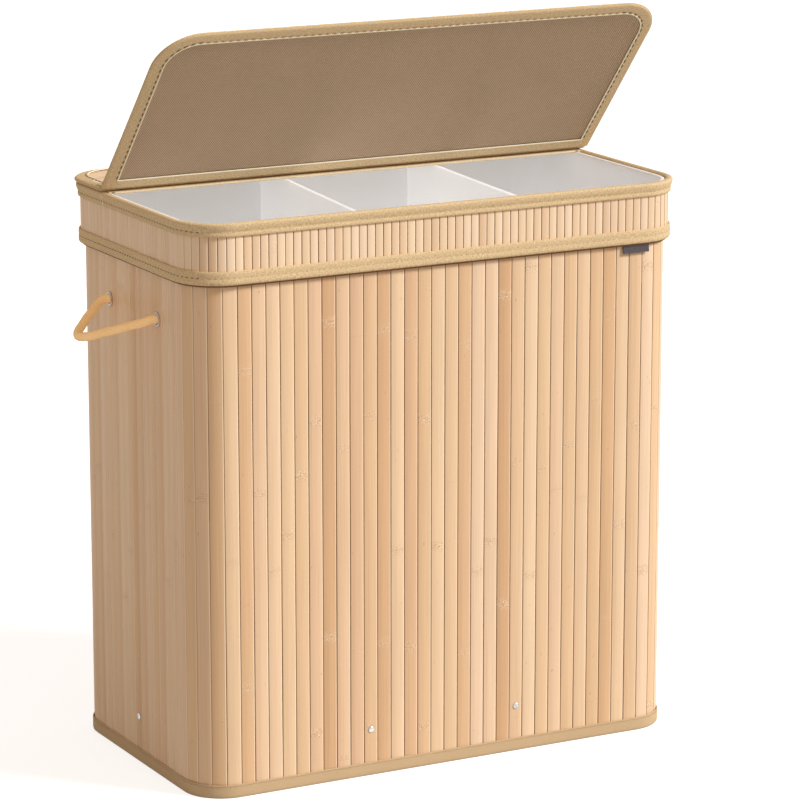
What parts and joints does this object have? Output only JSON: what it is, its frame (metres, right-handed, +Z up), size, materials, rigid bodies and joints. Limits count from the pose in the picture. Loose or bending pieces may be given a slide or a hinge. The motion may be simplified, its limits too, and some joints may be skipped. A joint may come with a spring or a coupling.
{
  "type": "laundry hamper",
  "caption": "Tall rectangular bamboo-slat laundry hamper with a divided cloth liner, rope handles and a lift-off lid with a hinged flap.",
  "frame": {"origin": "on the floor under the middle of the body", "axes": "+Z up, +X to the right along the long front, +Y to the back, where the lid's flap is hinged"},
  "size_m": [0.7412, 0.355, 0.8502],
  "materials": {
    "bamboo": "matt, unvarnished",
    "linen_tape": "coarse linen weave",
    "smooth_tape": "smooth woven tape",
    "board": "cloth-covered fibreboard",
    "lining": "fine diagonal twill",
    "liner": "plain white cloth",
    "rope": "twisted cotton rope",
    "metal": "bright plated",
    "wire": "drawn steel wire",
    "tag": "dark woven tag, blank"
  },
  "bodies": {
    "hamper": {"body_mat": "bamboo", "body_bottom_binding": "smooth_tape", "body_top_binding": "linen_tape", "floor_board": "board", "front_floor_flap": "board", "back_floor_flap": "board", "left_floor_flap": "board", "right_floor_flap": "board", "liner_wall": "liner", "liner_floor": "liner", "liner_divider_left": "liner", "liner_divider_right": "liner", "front_left_rivet": "metal", "front_left_rivet_washer": "metal", "front_right_rivet": "metal", "front_right_rivet_washer": "metal", "back_left_rivet": "metal", "back_left_rivet_washer": "metal", "back_right_rivet": "metal", "back_right_rivet_washer": "metal", "left_rivet": "metal", "left_rivet_washer": "metal", "right_rivet": "metal", "right_rivet_washer": "metal", "left_front_eyelet": "metal", "left_front_eyelet_ring": "metal", "left_front_rope_knot": "rope", "left_back_eyelet": "metal", "left_back_eyelet_ring": "metal", "left_back_rope_knot": "rope", "right_front_eyelet": "metal", "right_front_eyelet_ring": "metal", "right_front_rope_knot": "rope", "right_back_eyelet": "metal", "right_back_eyelet_ring": "metal", "right_back_rope_knot": "rope"},
    "lid_frame": {"collar_mat": "bamboo", "collar_top_binding": "linen_tape", "collar_bottom_binding": "linen_tape", "collar_rim_wire": "wire", "woven_tag": "tag", "rear_strip_lining": "lining", "rear_strip_core": "board", "rear_strip_slats": "bamboo", "rear_strip_binding": "linen_tape", "hinge_cloth_rear_half": "linen_tape"},
    "lid_flap": {"flap_lining": "lining", "flap_core": "board", "flap_slats": "bamboo", "flap_binding": "linen_tape", "hinge_cloth_flap_half": "linen_tape"},
    "left_handle": {"left_rope_handle": "rope"},
    "right_handle": {"right_rope_handle": "rope"}
  },
  "joints": [
    {"name": "lid_lift", "type": "slide", "parent": "hamper", "child": "lid_frame", "axis": [0, 0, 1], "range_m": [0, 0.12]},
    {"name": "flap_hinge", "type": "hinge", "parent": "lid_frame", "child": "lid_flap", "pos_m": [0, 0.062, 0.65945], "axis": [-1, 0, 0], "range_deg": [-48.5, 130]},
    {"name": "left_handle_swing", "type": "hinge", "parent": "hamper", "child": "left_handle", "pos_m": [-0.3128, 0, 0.529], "axis": [0, 1, 0], "range_deg": [-66, 94]},
    {"name": "right_handle_swing", "type": "hinge", "parent": "hamper", "child": "right_handle", "pos_m": [0.3128, 0, 0.529], "axis": [0, -1, 0], "range_deg": [-66, 94]}
  ]
}
